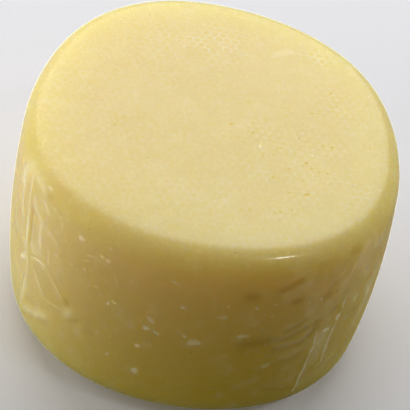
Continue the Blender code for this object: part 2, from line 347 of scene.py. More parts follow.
# Where the mould's print shows, as round spots in a pale net: x, y, spread, strength
PRINT_PATCHES = (
    (-51, 15, 13, 0.2),
    (-52.3, -4.6, 9, 0.2),
    (-3.5, 41, 9, 1.1),
    (-14, 38, 8, 0.5),
    (31, 43, 5.5, 1.1),
    (51.3, -23, 4, 0.7),
    (38.8, -20.8, 6, 0.6),
    (15.6, -20.9, 6.5, 0.7),
    (28.7, -18.9, 5, 0.6),
    (49.5, -31.7, 3.5, 0.6),
    (-38.4, -33.4, 11, 0.15),
    (-28, 34, 9, 0.5),
    (-6, -42.9, 14, 0.25),
    (-34.9, -7, 12, 0.2),
)
PRINT_EVERYWHERE = 0.15
# The print and the grains go on past the flat top to this multiple of its edge's run
PRINT_REACH = 1.04
# Where the print shows the other way, as pale round grains with deep pits between: the same
CURD_PATCHES = (
    (37.1, 21.2, 9, 0.6),
    (29.2, -6.7, 11, 0.5),
    (33.8, -27.7, 6, 0.8),
    (15.9, -2.5, 6, 0.7),
    (44.7, 12.8, 8, 0.45),
    (40.9, -4.1, 7, 0.45),
    (27.4, -38.7, 6, 0.6),
)

# ---------------------------------------------------------------- finishes and lights (metres, degrees)

# The film's mesh is drawn closer at these two angles, by this much, over this spread
FOLDED_ANGLES = (224.0, 312.0)
FOLDED_SPREAD = 16.0
FOLDED_GATHER = 1.6
# Creases: step along and points across, gap to the film, and the share of the width left at the ends
STRIP_STEP = 0.0006
STRIP_POINTS = 9
STRIP_CLEARANCE = 0.00008
STRIP_END_WIDTH = 0.15
# Flecks and flakes: the innermost ring's share of the edge's reach
PATCH_INNER = 0.15

# How far round the film's cloudy folded zones reach, between which heights, and how softly they end
CLOUDY_SPREAD = 13.0
CLOUDY_HEIGHTS = (0.012, 0.070)
CLOUDY_EDGE = 0.01
CLOUDY_HAZE = 0.12
MILK_LIMIT = 0.85
# How pale the film is painted where it is seen edge on: a painted sheen
PAINTED_SLANT_SHEEN = 0.32
FILM_ROUGHNESS = 0.3
FILM_REFRACTION = 1.45
FILM_RIPPLE = 0.0006
TIGHT_ROUGHNESS = 0.1
TIGHT_REFRACTION = 1.5

# The cheese: how far light spreads in it, the same as shares for red, green and blue, and the depth of its
# grain; the top's colour fades in between two depths below the top
CHEESE_ROUGHNESS = 0.5
CHEESE_REFRACTION = 1.35
CHEESE_LIGHT_REACH = 0.045
CHEESE_LIGHT_SHARES = (1.0, 0.8, 0.1)
CHEESE_GRAIN = 0.0002
TOP_COLOUR_DEPTHS = (0.006, 0.0008)
# Painted shade on the cheese's side: middle of the darker side, how much darker it is there and how much
# less at the top
SIDE_SHADE_ANGLE = 308.0
SIDE_SHADE_SHARE = 0.65
SIDE_SHADE_LESS = 0.25
# Middle of the painted shade on the rim, out from where the top starts to round off
RIM_MIDDLE = 0.005

# Textures: how many waves each has to a metre
MOTTLE_WAVES = 70.0
BLOOM_WAVES = 160.0
GRAIN_WAVES = 850.0
CURD_WAVES = 500.0
PRINT_DRIFT_WAVES = 70.0
PRINT_GAP_WAVES = 240.0
PIT_CHOICE_WAVES = 420.0
FILM_RIPPLE_WAVES = 130.0
FILM_CLOUD_WAVES = 170.0
VEIL_WAVES = 900.0
SPECK_WAVES = 1200.0
FLOOR_WAVES = 3.0

# Colours, as shares of red, green and blue light sent back or let through
TOP_YELLOW = (0.81, 0.66, 0.235, 1.0)
SIDE_YELLOW = (0.80, 0.60, 0.225, 1.0)
# Painted shade: the darker yellow that the side takes low down and towards one angle
SIDE_SHADE_YELLOW = (0.71, 0.50, 0.035, 1.0)
MOTTLE_YELLOW = (0.76, 0.58, 0.13, 1.0)
PALE_YELLOW = (0.86, 0.74, 0.36, 1.0)
SPOT_YELLOW = (0.79, 0.62, 0.14, 1.0)
NET_PALE = (0.88, 0.79, 0.46, 1.0)
# Painted shade in the small pits between curd grains
PIT_SHADE_YELLOW = (0.80, 0.57, 0.07, 1.0)
PIT_SHADE_TINT = (0.89, 0.79, 0.42, 1.0)
BLACK = (0.0, 0.0, 0.0, 1.0)
CLEAR = (1.0, 1.0, 1.0, 1.0)
# Painted shade in the side's hollows and grooves
HOLLOW_SHADE_YELLOW = (0.58, 0.38, 0.03, 1.0)
FLAKE_PALE = (0.70, 0.85, 0.95, 1.0)
SPECK_DARK = (0.13, 0.08, 0.03, 1.0)
SPECK_LIGHT = (0.22, 0.14, 0.05, 1.0)
# Painted shade on the rounded edge between the top and the side
RIM_SHADE_YELLOW = (0.73, 0.51, 0.22, 1.0)
MILK_WHITE = (0.60, 0.78, 0.95, 1.0)
FLECK_WHITE = (0.60, 0.80, 1.0, 1.0)
FLOOR_WHITE = (0.92, 0.92, 0.97, 1.0)
FLOOR_GREY = (0.90, 0.90, 0.95, 1.0)

# Lights: name, azimuth, elevation, distance, width, height, power, seen in the gloss
LIGHTS = (
    ("left", 172.0, 8.0, 1.2, 0.9, 0.8, 10.4, False),
    ("left_front", 222.0, 14.0, 1.2, 1.0, 0.7, 3.2, False),
    ("back_high", 100.0, 45.0, 1.2, 1.6, 1.0, 11.0, True),
    ("right", 26.0, 16.0, 1.2, 0.8, 0.7, 4.9, False),
    ("glint", 328.0, 57.0, 1.2, 0.18, 0.12, 0.8, True),
)
FILL_COLOUR = (1.0, 0.98, 0.85, 1.0)
FILL_STRENGTH = 0.10
FLOOR_REACH = 4.0


# ---------------------------------------------------------------- the drum's form

def rounded_edge(edge_radius, steps):
    """Points of a superellipse quarter, from straight up (0, 1) to straight out (1, 0), scaled."""
    turn = np.linspace(0.0, math.pi / 2.0, steps + 1)
    power = 2.0 / EDGE_SQUARENESS
    return edge_radius * np.sin(turn) ** power, edge_radius * np.cos(turn) ** power


def side_offset(heights):
    """How far the side stands out from the mean radius: a bulge at half height, and a slight flare."""
    from_middle = 2.0 * heights / HEIGHT - 1.0
    return SIDE_BULGE * (1.0 - from_middle ** 2) + 0.5 * SIDE_FLARE * from_middle


def profile_table():
    """Run, radius and height at close steps along the mean profile, and its outward direction there."""
    top_out, top_up = rounded_edge(TOP_EDGE_RADIUS, PROFILE_STEPS)
    base_out, base_up = rounded_edge(BASE_EDGE_RADIUS, PROFILE_STEPS)
    side_heights = np.linspace(HEIGHT - TOP_EDGE_RADIUS, BASE_EDGE_RADIUS, PROFILE_STEPS + 1)[1:-1]
    radii = np.concatenate([
        FLAT_RADIUS + top_out,
        np.full(PROFILE_STEPS - 1, MEAN_RADIUS),
        MEAN_RADIUS - BASE_EDGE_RADIUS + base_out[::-1],
    ])
    heights = np.concatenate([
        HEIGHT - TOP_EDGE_RADIUS + top_up,
        side_heights,
        BASE_EDGE_RADIUS - base_up[::-1],
    ])
    radii = radii + side_offset(heights)
    radii = np.concatenate([np.linspace(0.0, radii[0], PROFILE_STEPS + 1)[:-1], radii, [0.0]])
    heights = np.concatenate([np.full(PROFILE_STEPS, HEIGHT), heights, [0.0]])
    runs = np.concatenate([[0.0], np.cumsum(np.hypot(np.diff(radii), np.diff(heights)))])
    slope_radius = np.gradient(radii, runs)
    slope_height = np.gradient(heights, runs)
    length = np.hypot(slope_radius, slope_height)
    return runs, radii, heights, -slope_height / length, slope_radius / length


PROFILE_RUNS, PROFILE_RADII, PROFILE_HEIGHTS, PROFILE_OUT, PROFILE_UP = profile_table()
RUN_EDGE = float(PROFILE_RUNS[PROFILE_STEPS])
RUN_BASE = float(PROFILE_RUNS[-2])


def run_at_height(height):
    """The run of the place on the side that lies at a height."""
    side = slice(PROFILE_STEPS, len(PROFILE_RUNS) - 1)
    return np.interp(-np.asarray(height), -PROFILE_HEIGHTS[side], PROFILE_RUNS[side])


def plan_scale(angles):
    """The plan's radius at each angle, as a multiple of the mean radius: a sum of cosine waves."""
    scale = np.ones_like(angles)
    for waves, depth, crest in PLAN_WAVES:
        scale = scale + depth / MEAN_RADIUS * np.cos(waves * (angles - math.radians(crest)))
    return scale


def distance_to_path(angles, heights, path):
    """Shortest distance along the side's surface to a path of the tables."""
    across = MEAN_RADIUS * (angles % math.tau)
    nearest = np.full_like(angles, 1.0)
    for (start_angle, start_height), (end_angle, end_height) in zip(path[:-1], path[1:]):
        start = np.array([MEAN_RADIUS * math.radians(start_angle), MILLIMETRE * start_height])
        run = np.array([MEAN_RADIUS * math.radians(end_angle), MILLIMETRE * end_height]) - start
        along = ((across - start[0]) * run[0] + (heights - start[1]) * run[1]) / run.dot(run)
        along = np.clip(along, 0.0, 1.0)
        gap = np.hypot(across - start[0] - along * run[0], heights - start[1] - along * run[1])
        nearest = np.minimum(nearest, gap)
    return nearest


def bell_round(angles, heights, path, half_width):
    """Bell shape about a path: exp(-away^2), with away the distance from it in half widths."""
    away = distance_to_path(angles, heights, path) / (MILLIMETRE * half_width)
    return np.exp(-away ** 2)


def side_relief(angles, heights, folds):
    """How far folds, hollows and swellings push the side out or in: a sum of smooth bell shapes, with the
    film's folds counted by the share given."""
    relief = np.zeros_like(angles)
    for path, half_width, rise in FOLDS:
        relief = relief + folds * MILLIMETRE * rise * bell_round(angles, heights, path, half_width)
    for path, half_width, rise, _ in SIDE_FORMS:
        relief = relief + MILLIMETRE * rise * bell_round(angles, heights, path, half_width)
    return relief


def top_swell(x, y):
    """Low swells of the top: crossed sine waves that only ever sink below the flat, and a fall towards the
    rim on one side that grows with the square of the way out."""
    way_out = np.clip((np.hypot(x, y) - SHOULDER_START) / (MEAN_RADIUS - SHOULDER_START), 0.0, 1.0)
    towards = np.clip(np.cos(np.arctan2(y, x) - math.radians(SHOULDER_ANGLE)), 0.0, 1.0)
    swell = -SHOULDER_DROP * way_out ** 2 * towards ** 4
    for length, direction in TOP_SWELLS:
        along = x * math.cos(math.radians(direction)) + y * math.sin(math.radians(direction))
        swell = swell - TOP_SWELL_DEPTH * (1.0 + np.sin(math.tau * along / length))
    return swell


def skin(angles, runs, lift, folds=1.0):
    """Place on the drum's skin: mean profile times plan, plus relief, moved out by lift."""
    radii = np.interp(runs, PROFILE_RUNS, PROFILE_RADII)
    heights = np.interp(runs, PROFILE_RUNS, PROFILE_HEIGHTS)
    out = np.interp(runs, PROFILE_RUNS, PROFILE_OUT)
    up = np.interp(runs, PROFILE_RUNS, PROFILE_UP)
    fade = np.clip((radii - RELIEF_START_RADIUS) / RELIEF_FADE, 0.0, 1.0)
    relief = fade * side_relief(angles, heights, folds)
    radii = radii * plan_scale(angles) + relief + lift * out
    x = radii * np.cos(angles)
    y = radii * np.sin(angles)
    near_top = np.clip(1.0 - (HEIGHT - heights) / TOP_EDGE_RADIUS, 0.0, 1.0)
    heights = heights + near_top * top_swell(x, y) + lift * up
    return np.stack([x, y, heights], axis=-1)


def plan_middle():
    """Middle of the plan's box, which the drum is moved by so that its box is centred."""
    angles = np.linspace(0.0, math.tau, 721)[:-1]
    widest = np.full_like(angles, run_at_height(HEIGHT / 2.0))
    places = skin(angles, widest, 0.0)
    return np.array([
        (places[:, 0].max() + places[:, 0].min()) / 2.0,
        (places[:, 1].max() + places[:, 1].min()) / 2.0,
        0.0,
    ])


MIDDLE = plan_middle()


# ---------------------------------------------------------------- places on the drum

def on_side(angle, height):
    """A place of the tables on the side: the distance round at the mean radius, and minus the run."""
    return MEAN_RADIUS * math.radians(angle), -float(run_at_height(MILLIMETRE * height))


def side_place(around, up, lift):
    """Place on the side, from the two distances that on_side gives."""
    return skin(around / MEAN_RADIUS, -up, lift)


def top_place(x, y, lift):
    """Place on the flat top above x, y."""
    angle = np.arctan2(y, x)
    return skin(angle, np.hypot(x, y) / plan_scale(angle), lift)


def side_line(path):
    """A path of the tables as distances round and up."""
    return [on_side(angle, height) for angle, height in path]


def smooth_line(points):
    """Line with its corners cut: each corner gives way to points a quarter along the sides beside it."""
    line = np.array(points)
    for _ in range(3):
        near_start = 0.75 * line[:-1] + 0.25 * line[1:]
        near_end = 0.25 * line[:-1] + 0.75 * line[1:]
        inner = np.stack([near_start, near_end], axis=1).reshape(-1, 2)
        line = np.vstack([line[:1], inner, line[-1:]])
    return line


def even_line(points, step):
    """The smoothed line's points at even steps along it."""
    line = smooth_line(points)
    along = np.concatenate([[0.0], np.cumsum(np.hypot(*np.diff(line, axis=0).T))])
    count = max(int(along[-1] / step), 6)
    even = np.linspace(0.0, along[-1], count + 1)
    return np.stack([np.interp(even, along, line[:, 0]), np.interp(even, along, line[:, 1])], axis=1)


# ---------------------------------------------------------------- meshes

def mesh_piece(name, points, faces, material, attributes=None):
    """An object at the origin whose mesh has these points, faces and vertex numbers, shaded smooth."""
    mesh = bpy.data.meshes.new(name)
    mesh.from_pydata(points.reshape(-1, 3).tolist(), [], faces)
    for key, values in (attributes or {}).items():
        layer = mesh.attributes.new(key, "FLOAT", "POINT")
        layer.data.foreach_set("value", np.ascontiguousarray(values, dtype=np.float32).ravel())
    mesh.validate()
    mesh.shade_smooth()
    mesh.materials.append(material)
    piece = bpy.data.objects.new(name, mesh)
    bpy.context.scene.collection.objects.link(piece)
    return piece


def grid_quads(index):
    """The four corners of every cell of a grid of vertex numbers, the second way of the grid first."""
    return np.stack([index[:-1, :-1], index[:-1, 1:], index[1:, 1:], index[1:, :-1]], -1).reshape(-1, 4)


def disk_places(cells):
    """A square grid bent onto a disk: rings of squares become rings of circles."""
    side = np.linspace(-1.0, 1.0, cells + 1)
    across, along = np.meshgrid(side, side, indexing="xy")
    reach = np.maximum(np.abs(across), np.abs(along))
    wide = np.abs(across) >= np.abs(along)
    with np.errstate(divide="ignore", invalid="ignore"):
        wide_angle = math.pi / 4.0 * along / across
        tall_angle = math.pi / 2.0 - math.pi / 4.0 * across / along
    angle = np.where(wide, wide_angle, tall_angle)
    angle = np.where(wide & (across < 0.0), angle + math.pi, angle)
    angle = np.where(~wide & (along < 0.0), angle + math.pi, angle)
    angle = np.where(reach == 0.0, 0.0, angle)
    return angle, reach


def gathered(angles):
    """Angles drawn closer together near the two folded places of the film, the same way round."""
    even = np.linspace(0.0, math.tau, 2001)
    density = np.ones_like(even)
    for middle in FOLDED_ANGLES:
        away = (np.degrees(even) - middle) / FOLDED_SPREAD
        density = density + FOLDED_GATHER * np.exp(-away ** 2)
    reached = np.concatenate([[0.0], np.cumsum((density[1:] + density[:-1]) / 2.0)])
    reached = reached / reached[-1] * math.tau
    turns = np.floor(angles / math.tau)
    return turns * math.tau + np.interp(angles - turns * math.tau, reached, even)


def drum_grid(cells, rows):
    """Angle and run of every vertex of a whole closed drum, and its faces."""
    disk_angle, disk_reach = disk_places(cells)
    disk_run = disk_reach * RUN_EDGE
    disk_index = np.arange((cells + 1) ** 2).reshape(cells + 1, cells + 1)
    faces = grid_quads(disk_index).tolist()

    rim = np.concatenate([
        disk_index[:-1, -1],
        disk_index[-1, :0:-1],
        disk_index[:0:-1, 0],
        disk_index[0, :-1],
    ])
    rim_angle = disk_angle.ravel()[rim]
    row_runs = RUN_EDGE + (RUN_BASE - RUN_EDGE) * np.linspace(0.0, 1.0, rows + 1)[1:]
    side_angle = np.broadcast_to(rim_angle, (rows, len(rim)))
    side_run = np.broadcast_to(row_runs[:, None], (rows, len(rim)))
    first = (cells + 1) ** 2
    side_index = first + np.arange(rows * len(rim)).reshape(rows, len(rim))
    side_index = np.vstack([rim, side_index])
    side_index = np.hstack([side_index, side_index[:, :1]])
    faces += grid_quads(side_index)[:, ::-1].tolist()

    base_middle = first + rows * len(rim)
    last = side_index[-1]
    faces += np.stack([last[1:], last[:-1], np.full(len(rim), base_middle)], -1).tolist()
    angle = np.concatenate([disk_angle.ravel(), side_angle.ravel(), [0.0]])
    run = np.concatenate([disk_run.ravel(), side_run.ravel(), [PROFILE_RUNS[-1]]])
    return gathered(angle), run, faces


def strip_piece(name, strips, place, material):
    """Low ridges along lines.  Across a ridge, from -1 to 1, its height is rise (1 - across^2)^2 and its
    veil is strength (1 - across^2); both and the width fade out at its two ends."""
    across = np.linspace(-1.0, 1.0, STRIP_POINTS)
    points, veils, faces = [], [], []
    first = 0
    for line, half_width, rise, strength in strips:
        middle = even_line(line, STRIP_STEP)
        direction = np.gradient(middle, axis=0)
        direction = direction / np.hypot(direction[:, 0], direction[:, 1])[:, None]
        normal = np.stack([-direction[:, 1], direction[:, 0]], axis=1)
        along = np.linspace(0.0, 1.0, len(middle))
        fade = np.clip(np.sin(math.pi * along), 0.0, 1.0)
        taper = STRIP_END_WIDTH + (1.0 - STRIP_END_WIDTH) * fade ** 0.4
        spread = middle[:, None] + half_width * (taper[:, None] * across)[..., None] * normal[:, None]
        lift = STRIP_CLEARANCE + rise * fade[:, None] ** 0.5 * (1.0 - across ** 2) ** 2
        points.append(place(spread[..., 0], spread[..., 1], lift).reshape(-1, 3))
        veils.append((strength * fade[:, None] ** 0.3 * (1.0 - across ** 2)).ravel())
        index = first + np.arange(lift.size).reshape(lift.shape)
        faces += grid_quads(index.T).tolist()
        first += lift.size
    points = np.concatenate(points) - MIDDLE
    return mesh_piece(name, points, faces, material, {"veil": np.concatenate(veils)})


def patch_piece(name, patches, place, material, corners, rings, rise, clearance, seed):
    """Low irregular flakes.  Round its middle a flake's edge lies at 1 plus a few random waves; out from
    the middle, from 0 to 1, its height is rise (1 - out^2)."""
    draws = np.random.default_rng(seed)
    middle_x, middle_y, half_length, half_width, turn, strength = np.array(patches).T[:, :, None, None]
    count = len(patches)
    round_way = np.linspace(0.0, math.tau, corners + 1)[:-1]
    edge = np.ones((count, corners))
    for waves in (2, 3, 5):
        depth = draws.uniform(0.03, 0.3 / waves + 0.05, (count, 1))
        shift = draws.uniform(0.0, math.tau, (count, 1))
        edge = edge + depth * np.cos(waves * round_way + shift)
    out = np.linspace(PATCH_INNER, 1.0, rings)[None, :, None]
    along = half_length * out * edge[:, None] * np.cos(round_way)
    aside = half_width * out * edge[:, None] * np.sin(round_way)
    turn = np.radians(turn)
    x = middle_x + along * np.cos(turn) - aside * np.sin(turn)
    y = middle_y + along * np.sin(turn) + aside * np.cos(turn)
    lift = clearance + rise * np.broadcast_to(1.0 - out ** 2, x.shape)
    points = place(x, y, lift) - MIDDLE
    veil = np.broadcast_to(strength * np.clip(2.0 * (1.0 - out), 0.0, 1.0), x.shape)
    index = np.arange(x.size).reshape(x.shape)
    closed = np.concatenate([index, index[:, :, :1]], axis=2)
    inner, outer = closed[:, :-1], closed[:, 1:]
    quads = np.stack([inner[..., :-1], outer[..., :-1], outer[..., 1:], inner[..., 1:]], -1).reshape(-1, 4)
    faces = quads.tolist() + index[:, 0].tolist()
    return mesh_piece(name, points, faces, material, {"veil": veil})


def whole_drum(name, cells, rows, lift, folds, material, marks):
    """The closed drum at this distance outside the skin, with numbers for its marks at its vertices."""
    angle, run, faces = drum_grid(cells, rows)
    points = skin(angle, run, lift, folds)
    attributes = {key: values(angle, run, points) for key, values in marks.items()}
    return mesh_piece(name, points - MIDDLE, faces, material, attributes)


# ---------------------------------------------------------------- marks as numbers at the vertices

def film_milk_and_highlights(angle, run, points):
    """Milkiness of the film and painted highlights on the side's ridges: bell shapes round the haze paths,
    added up to a limit.
    """
    heights = np.interp(run, PROFILE_RUNS, PROFILE_HEIGHTS)
    milk = np.zeros_like(angle)
    side = run > RUN_EDGE
    for path, half_width, strength in HAZES_AND_RIDGE_HIGHLIGHTS:
        milk[side] += strength * bell_round(angle[side], heights[side], path, half_width)
    return np.clip(milk, 0.0, MILK_LIMIT)


def patch_sum(points, patches):
    """Sum of bell shapes on the top, each of a strength and a spread."""
    total = np.zeros(len(points))
    for x, y, spread, strength in patches:
        away = np.hypot(points[:, 0] / MILLIMETRE - x, points[:, 1] / MILLIMETRE - y) / spread
        total = total + strength * np.exp(-away ** 2)
    return np.clip(total, 0.0, 1.0)


def print_mark(angle, run, points):
    """How clearly the mould's print shows: a little all over the top, and well in some places."""
    return (PRINT_EVERYWHERE + patch_sum(points, PRINT_PATCHES)) * (run < RUN_EDGE * PRINT_REACH)


def curd_mark(angle, run, points):
    """How clearly the curd grains show."""
    return patch_sum(points, CURD_PATCHES) * (run < RUN_EDGE * PRINT_REACH)


def rim_shade_mark(angle, run, points):
    """How much painted shade darkens the rounded edge's colour: a bell shape across it."""
    across = (run - RUN_EDGE - RIM_MIDDLE) / RIM_MIDDLE
    return np.exp(-across ** 2)


def cloudy_mark(angle, run, points):
    """1 in the middle of the film's folded zones, falling off round the side in bell shapes."""
    heights = np.interp(run, PROFILE_RUNS, PROFILE_HEIGHTS)
    cloudy = np.zeros_like(angle)
    for middle in FOLDED_ANGLES:
        away = (np.degrees(angle) % 360.0 - middle) / CLOUDY_SPREAD
        cloudy = cloudy + np.exp(-away ** 2)
    low, high = CLOUDY_HEIGHTS
    from_below = np.clip((heights - low) / CLOUDY_EDGE, 0.0, 1.0)
    from_above = np.clip((high - heights) / CLOUDY_EDGE + 1.0, 0.0, 1.0)
    return cloudy * from_below * from_above * (run > RUN_EDGE)


def hollow_shade_mark(angle, run, points):
    """How much painted shade deepens the colour in the side's hollows, from 0 to 1."""
    heights = np.interp(run, PROFILE_RUNS, PROFILE_HEIGHTS)
    side = run > RUN_EDGE
    depth = np.zeros_like(angle)
    for path, half_width, _, painted_shade in SIDE_FORMS:
        if painted_shade > 0.0:
            depth[side] += painted_shade * bell_round(angle[side], heights[side], path, half_width)
    return np.clip(depth, 0.0, 1.0)


def side_shade_mark(angle, run, points):
    """How far painted shade takes the side's colour to its darkest, from 0 to 1: more low down, and more
    towards one angle, by the square of the cosine from there."""
    low = 1.0 - points[:, 2] / HEIGHT
    facing = np.clip(np.cos(angle - math.radians(SIDE_SHADE_ANGLE)), 0.0, 1.0)
    return np.clip(SIDE_SHADE_SHARE * facing ** 2 - SIDE_SHADE_LESS + low, 0.0, 1.0) * (run > RUN_EDGE)


# ---------------------------------------------------------------- shader maths

class Value:
    """A number socket that Python's operators turn into Math nodes."""

    def __init__(self, shading, socket):
        self.shading = shading
        self.socket = socket

    def math(self, operation, *inputs):
        return self.shading.node("ShaderNodeMath", {"operation": operation}, dict(enumerate(inputs)))

    def __add__(self, other):
        return self.math("ADD", self, other)

    def __radd__(self, other):
        return self.math("ADD", other, self)

    def __sub__(self, other):
        return self.math("SUBTRACT", self, other)

    def __rsub__(self, other):
        return self.math("SUBTRACT", other, self)

    def __mul__(self, other):
        return self.math("MULTIPLY", self, other)

    def __rmul__(self, other):
        return self.math("MULTIPLY", other, self)

    def __pow__(self, other):
        return self.math("POWER", self, other)

    def cosine(self):
        return self.math("COSINE", self)

    def step(self, start, end):
        """0 up to start, 1 from end on, and a smooth step between; start may be the greater."""
        return self.shading.node(
            "ShaderNodeMapRange",
            {"interpolation_type": "SMOOTHSTEP"},
            {"Value": self, "From Min": start, "From Max": end},
        )

    def clamped(self):
        return self.shading.node("ShaderNodeClamp", {}, {"Value": self})


class Shading:
    """A new material's node tree."""

    def __init__(self, name):
        self.material = bpy.data.materials.new(name)
        self.material.use_nodes = True
        self.tree = self.material.node_tree
        self.tree.nodes.clear()
        self.end = self.tree.nodes.new("ShaderNodeOutputMaterial")

    def node(self, kind, settings, inputs, output=0):
        """A node of one kind: its settings first, then the values or links of its sockets."""
        node = self.tree.nodes.new(kind)
        for key, value in settings.items():
            setattr(node, key, value)
        for key, value in inputs.items():
            if isinstance(value, Value):
                self.tree.links.new(value.socket, node.inputs[key])
            else:
                node.inputs[key].default_value = value
        return Value(self, node.outputs[output])

    def place(self):
        """The point on the surface in the drum's own metres."""
        return self.node("ShaderNodeTexCoord", {}, {}, "Object")

    def attribute(self, name):
        """A number stored at the mesh's vertices."""
        return self.node("ShaderNodeAttribute", {"attribute_name": name}, {}, "Fac")

    def noise(self, place, scale, detail=2.0):
        """Smooth noise about 0.5, this many waves to a metre."""
        return self.node(
            "ShaderNodeTexNoise", {}, {"Vector": place, "Scale": scale, "Detail": detail}
        )

    def mix(self, share, first, second):
        """Blend of two colours."""
        return self.node("ShaderNodeMix", {"data_type": "RGBA"}, {0: share, 6: first, 7: second}, 2)

    def blend(self, share, first, second):
        """Blend of two finishes."""
        return self.node("ShaderNodeMixShader", {}, {0: share, 1: first, 2: second})

    def add(self, first, second):
        """Two finishes whose light adds up."""
        return self.node("ShaderNodeAddShader", {}, {0: first, 1: second})

    def clear(self, tint):
        """A layer that shows what is behind it, through a tint."""
        return self.node("ShaderNodeBsdfTransparent", {}, {"Color": tint})

    def finish(self, shader):
        self.tree.links.new(shader.socket, self.end.inputs["Surface"])
        return self.material


# ---------------------------------------------------------------- materials

def mould_print(shading, place):
    """Cosine waves along three directions a third of a turn apart, averaged: 1 in the middle of each
    round spot of the print, -1/3 half way to the next spot and -1/2 where three spots meet.  The place is
    first shifted by noise, so that the rows wander."""
    drift = shading.node(
        "ShaderNodeTexNoise", {}, {"Vector": place, "Scale": PRINT_DRIFT_WAVES, "Detail": 2.0}, "Color"
    )
    shifted = shading.node(
        "ShaderNodeVectorMath",
        {"operation": "MULTIPLY_ADD"},
        {0: drift, 1: (PRINT_WANDER, PRINT_WANDER, PRINT_WANDER), 2: place},
    )
    waves = math.tau * 2.0 / math.sqrt(3.0) / PRINT_PITCH
    total = None
    for turn in (0.0, 120.0, 240.0):
        direction = math.radians(PRINT_TURN + turn)
        along = shading.node(
            "ShaderNodeVectorMath",
            {"operation": "DOT_PRODUCT"},
            {0: shifted, 1: (waves * math.cos(direction), waves * math.sin(direction), 0.0)},
            "Value",
        )
        wave = along.cosine()
        total = wave if total is None else total + wave
    return total * (1.0 / 3.0)


def cheese_material():
    """Waxy pale yellow cheese that lets light far in, with the mould's print and curd grains."""
    shading = Shading("cheese")
    place = shading.place()
    height = shading.node("ShaderNodeSeparateXYZ", {}, {0: place}, "Z")
    on_top = height.step(HEIGHT - TOP_COLOUR_DEPTHS[0], HEIGHT - TOP_COLOUR_DEPTHS[1])
    # The deep number paints shade onto the side: darker low down and towards one angle
    side = shading.mix(shading.attribute("deep"), SIDE_YELLOW, SIDE_SHADE_YELLOW)
    colour = shading.mix(on_top, side, TOP_YELLOW)
    # The rim number paints shade along the rounded edge
    colour = shading.mix(shading.attribute("rim") * 0.6, colour, RIM_SHADE_YELLOW)

    mottle = shading.noise(place, MOTTLE_WAVES, 4.0).step(0.35, 0.65)
    colour = shading.mix(mottle * 0.3, colour, MOTTLE_YELLOW)
    bloom = shading.noise(place, BLOOM_WAVES, 3.0).step(0.5, 0.75)
    colour = shading.mix(bloom * 0.28, colour, PALE_YELLOW)
    grain = shading.noise(place, GRAIN_WAVES)
    coarse = on_top * 0.3 + 0.1
    colour = shading.mix(grain.step(0.50, 0.70) * coarse, colour, PALE_YELLOW)
    colour = shading.mix(grain.step(0.50, 0.30) * coarse, colour, SPOT_YELLOW)

    spots = mould_print(shading, place)
    patchy = shading.noise(place, PRINT_GAP_WAVES).step(0.33, 0.60)
    printed = shading.attribute("print") * patchy
    colour = shading.mix(spots.step(0.0, 0.5) * printed * 0.45, colour, SPOT_YELLOW)
    colour = shading.mix(spots.step(-0.1, -0.36) * printed * 0.5, colour, NET_PALE)

    curd = shading.attribute("curd")
    chosen = shading.noise(place, PIT_CHOICE_WAVES, 1.0).step(0.46, 0.62)
    # The pits' darker colour is painted shade
    pit = spots.step(-0.36, -0.46) * chosen * curd
    colour = shading.mix(spots.step(-0.15, 0.4) * curd * 0.55, colour, PALE_YELLOW)
    colour = shading.mix(spots.step(-0.25, -0.45) * curd * 0.55, colour, SPOT_YELLOW)
    colour = shading.mix(pit * 0.9, colour, PIT_SHADE_YELLOW)
    # The hollow number paints shade into the side's hollows
    colour = shading.mix(shading.attribute("hollow") * 0.75, colour, HOLLOW_SHADE_YELLOW)

    relief = spots * (curd - printed) * 0.4 - pit + shading.noise(place, CURD_WAVES) * coarse
    normal = shading.node(
        "ShaderNodeBump", {}, {"Strength": 0.4, "Distance": CHEESE_GRAIN, "Height": relief}
    )
    shader = shading.node(
        "ShaderNodeBsdfPrincipled",
        {"subsurface_method": "RANDOM_WALK"},
        {
            "Base Color": colour,
            "Roughness": CHEESE_ROUGHNESS,
            "IOR": CHEESE_REFRACTION,
            "Subsurface Weight": 0.9,
            "Subsurface Radius": CHEESE_LIGHT_SHARES,
            "Subsurface Scale": CHEESE_LIGHT_REACH,
            "Normal": normal,
        },
    )
    return shading.finish(shader)


def film_material():
    """Clear shrink film: it passes what is behind it and adds a soft gloss, and a pale haze where it
    stands off the cheese, with painted highlights along the side's ridges, and a painted sheen where it is
    seen at a slant, by the cube of one minus the cosine."""
    shading = Shading("film")
    place = shading.place()
    ripple = shading.noise(place, FILM_RIPPLE_WAVES)
    normal = shading.node(
        "ShaderNodeBump", {}, {"Strength": 0.25, "Distance": FILM_RIPPLE, "Height": ripple}
    )
    stretched = shading.node(
        "ShaderNodeVectorMath", {"operation": "MULTIPLY"}, {0: place, 1: (1.0, 1.0, 0.35)}
    )
    cloud = shading.noise(stretched, FILM_CLOUD_WAVES, 1.0)
    streaks = shading.attribute("cloudy") * (cloud.step(0.45, 0.75) * 0.7 + 0.4) * CLOUDY_HAZE
    slant = shading.node("ShaderNodeLayerWeight", {}, {"Blend": 0.5}, "Facing")
    # The milk number holds the film's haze and the painted highlights on the side's ridges; the slant term
    # is a painted sheen
    haze = shading.attribute("milk") * (0.6 + cloud * 0.8) + streaks + slant ** 3.0 * PAINTED_SLANT_SHEEN
    film = shading.node(
        "ShaderNodeBsdfPrincipled",
        {},
        {
            "Base Color": shading.mix(haze.clamped(), BLACK, MILK_WHITE),
            "Roughness": FILM_ROUGHNESS,
            "IOR": FILM_REFRACTION,
            "Normal": normal,
        },
    )
    return shading.finish(shading.add(shading.clear(CLEAR), film))


def smooth_film_material():
    """Clear film drawn tight, with a keen gloss."""
    shading = Shading("smooth_film")
    film = shading.node(
        "ShaderNodeBsdfPrincipled",
        {},
        {"Base Color": BLACK, "Roughness": TIGHT_ROUGHNESS, "IOR": TIGHT_REFRACTION},
    )
    return shading.finish(shading.add(shading.clear(CLEAR), film))


